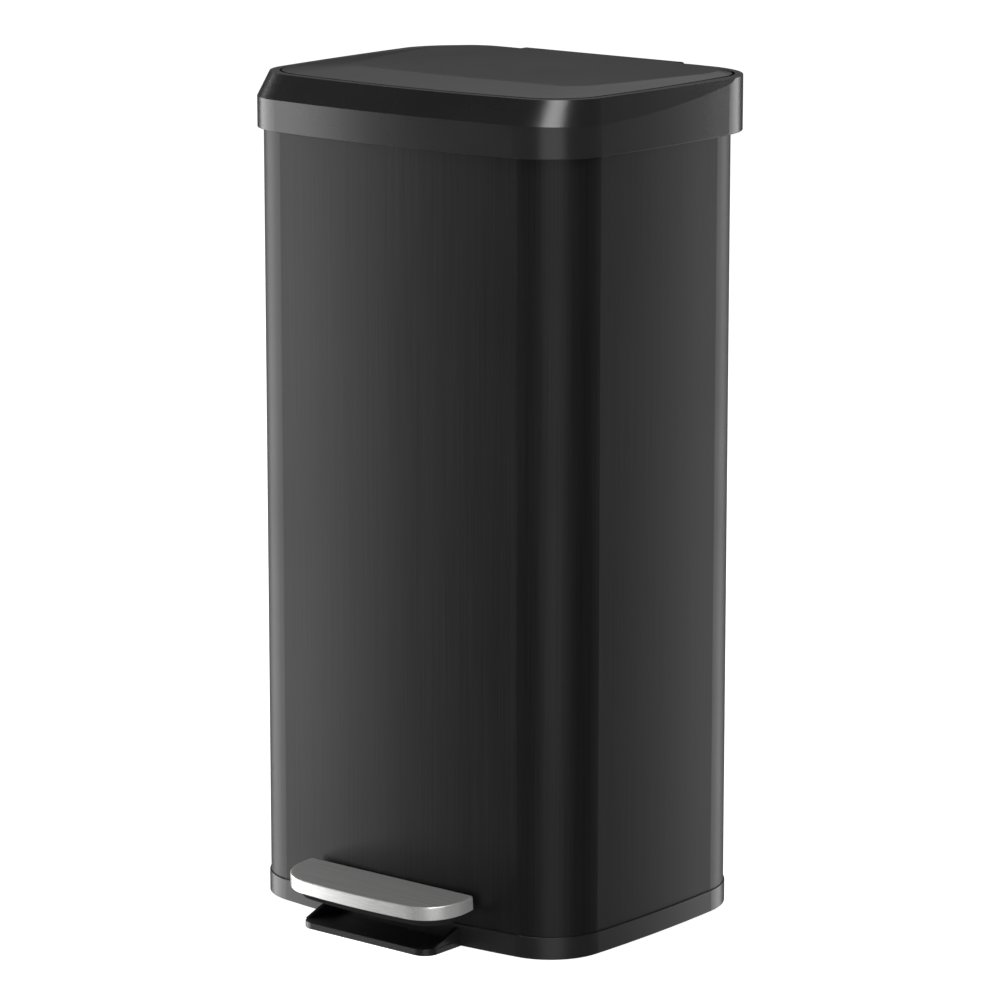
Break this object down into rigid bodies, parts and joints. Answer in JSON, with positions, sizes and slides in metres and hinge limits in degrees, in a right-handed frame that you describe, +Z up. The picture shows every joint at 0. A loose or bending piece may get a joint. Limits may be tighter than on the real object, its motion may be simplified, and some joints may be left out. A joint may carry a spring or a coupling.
{
  "type": "pedal trash can",
  "caption": "Rectangular pedal trash can: bowed dark steel body on a foot ring, hinged lid in a moulded collar, foot pedal with push rod, lift-out bucket.",
  "frame": {"origin": "centre of the level face the can stands on, midway between the shell's back and the front of its bow", "axes": "+Z up, -Y towards the front where the pedal is, +X to the right of someone standing in front and facing the can"},
  "size_m": [0.329, 0.3112, 0.6535],
  "materials": {
    "black_steel": "satin black, faint upright brushing",
    "black_plastic": "satin black moulding",
    "lid_plastic": "matte black moulding",
    "bucket_plastic": "dark grey moulding",
    "brushed_steel": "brushed lengthwise",
    "zinc_steel": "bright zinc",
    "rubber": "matte"
  },
  "bodies": {
    "can": {"body_shell": "black_steel", "base_ring": "black_plastic", "base_plate": "black_plastic", "rubber_feet": "rubber", "toe_plate": "black_plastic", "base_screws": "zinc_steel", "toe_screws": "zinc_steel", "bucket_deck": "black_plastic", "collar": "black_plastic", "lid_bumpers": "rubber", "hinge_pin": "zinc_steel", "rod_guide_lower": "zinc_steel", "rod_guide_upper": "zinc_steel", "pivot_bracket_left": "zinc_steel", "pivot_bracket_right": "zinc_steel", "bracket_screws": "zinc_steel", "pivot_pin": "zinc_steel", "pivot_clips": "zinc_steel"},
    "lid": {"lid_cover": "lid_plastic", "lid_liner": "lid_plastic", "lid_crank": "zinc_steel", "crank_screws": "zinc_steel"},
    "rod": {"push_rod": "zinc_steel", "rod_upper_pin": "zinc_steel", "rod_lower_pin": "zinc_steel", "rod_clips": "zinc_steel"},
    "pedal": {"pedal_lever": "zinc_steel", "pedal_core": "black_plastic", "pedal_cap": "brushed_steel", "pedal_screws": "zinc_steel"},
    "bucket": {"inner_bucket": "bucket_plastic"}
  },
  "joints": [
    {"name": "lid_open", "type": "hinge", "parent": "can", "child": "lid", "pos_m": [0, 0.1318, 0.6475], "axis": [-1, 0, 0], "range_deg": [0, 80]},
    {"name": "rod_lift", "type": "slide", "parent": "can", "child": "rod", "axis": [0, 0, 1], "range_m": [0, 0.03078]},
    {"name": "pedal_press", "type": "hinge", "parent": "can", "child": "pedal", "pos_m": [0, -0.061, 0.0275], "axis": [1, 0, 0], "range_deg": [0, 10.05]},
    {"name": "bucket_lift", "type": "slide", "parent": "can", "child": "bucket", "axis": [0, 0, 1], "range_m": [0, 0.008]}
  ],
  "couplings": [
    {"joint": "rod_lift", "follows": "lid_open", "m_per_rad": 0.021904},
    {"joint": "pedal_press", "follows": "lid_open", "ratio": 0.125}
  ]
}
